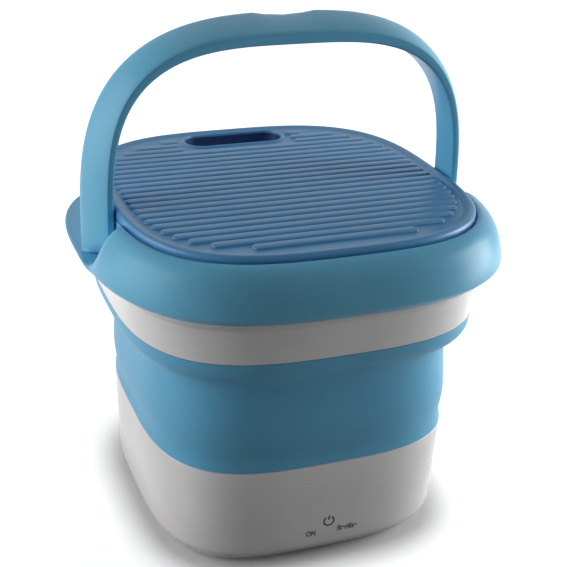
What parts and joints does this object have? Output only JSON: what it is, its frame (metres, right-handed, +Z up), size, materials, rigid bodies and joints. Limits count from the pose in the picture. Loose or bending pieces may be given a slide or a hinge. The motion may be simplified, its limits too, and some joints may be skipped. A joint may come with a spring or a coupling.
{
  "type": "folding washing machine",
  "caption": "Small portable washing machine: a base with a motor, a soft wall that folds down, a rim with a ribbed lift-off lid and a folding carrying handle.",
  "frame": {"origin": "middle of the footprint, on the surface the feet stand on", "axes": "+Z up; the control side faces -Y, the handle folds back towards +Y, the drain is on +X"},
  "size_m": [0.315, 0.3164, 0.3902],
  "materials": {
    "white_plastic": "gloss white ABS",
    "blue_plastic": "gloss to satin blue ABS",
    "soft_blue": "satin soft thermoplastic rubber",
    "steel": "plain steel",
    "copper": "copper winding",
    "black_plastic": "matte black",
    "rubber": "matte dark rubber",
    "board": "solder-resist green",
    "clear_plastic": "clear"
  },
  "bodies": {
    "base": {"base_clamp_ring": "white_plastic", "base_clamp_screw_1": "steel", "base_clamp_screw_2": "steel", "base_clamp_screw_3": "steel", "base_clamp_screw_4": "steel", "base_shell": "white_plastic", "bellows": "soft_blue", "board_screw_1": "steel", "board_screw_2": "steel", "bottom_cover": "white_plastic", "control_board": "board", "cover_screw_1": "steel", "cover_screw_2": "steel", "cover_screw_3": "steel", "cover_screw_4": "steel", "dc_jack": "black_plastic", "drain_nut": "black_plastic", "drain_spout": "white_plastic", "foot_1": "rubber", "foot_2": "rubber", "foot_3": "rubber", "foot_4": "rubber", "lower_bush": "steel", "motor_bracket": "steel", "motor_can": "steel", "motor_screw_1": "steel", "motor_screw_2": "steel", "motor_screw_3": "steel", "motor_screw_4": "steel", "shaft_seal": "rubber", "stator": "copper", "steriliser_lamp": "black_plastic", "steriliser_lens": "clear_plastic", "touch_contact_power": "rubber", "touch_contact_sterilise": "rubber", "tub_pan": "white_plastic", "upper_bush": "steel"},
    "collar": {"band_clamp_ring": "white_plastic", "band_clamp_screw_1": "steel", "band_clamp_screw_2": "steel", "band_clamp_screw_3": "steel", "band_clamp_screw_4": "steel", "handle_pin_left": "steel", "handle_pin_right": "steel", "handle_washer_left": "black_plastic", "handle_washer_right": "black_plastic", "rim": "blue_plastic", "rim_screw_1": "steel", "rim_screw_2": "steel", "rim_screw_3": "steel", "rim_screw_4": "steel", "upper_band": "white_plastic"},
    "handle": {"handle": "blue_plastic"},
    "lid": {"lid": "blue_plastic"},
    "impeller": {"drive_shaft": "steel", "impeller": "white_plastic", "impeller_nut": "white_plastic", "rotor": "steel"},
    "drain_plug": {"drain_plug": "rubber"}
  },
  "joints": [
    {"name": "fold_slide", "type": "slide", "parent": "base", "child": "collar", "axis": [0, 0, -1], "range_m": [0, 0.092], "deforming": ["bellows"]},
    {"name": "handle_fold", "type": "hinge", "parent": "collar", "child": "handle", "pos_m": [0, -0.001, 0.2275], "axis": [-1, 0, 0], "range_deg": [0, 90]},
    {"name": "lid_lift", "type": "slide", "parent": "collar", "child": "lid", "axis": [0, 0, 1], "range_m": [0, 0.018]},
    {"name": "impeller_spin", "type": "hinge", "parent": "base", "child": "impeller", "pos_m": [0, 0, 0.066], "axis": [0, 0, 1], "continuous": true},
    {"name": "drain_plug_pull", "type": "slide", "parent": "base", "child": "drain_plug", "axis": [1, 0, 0], "range_m": [0, 0.016]}
  ]
}
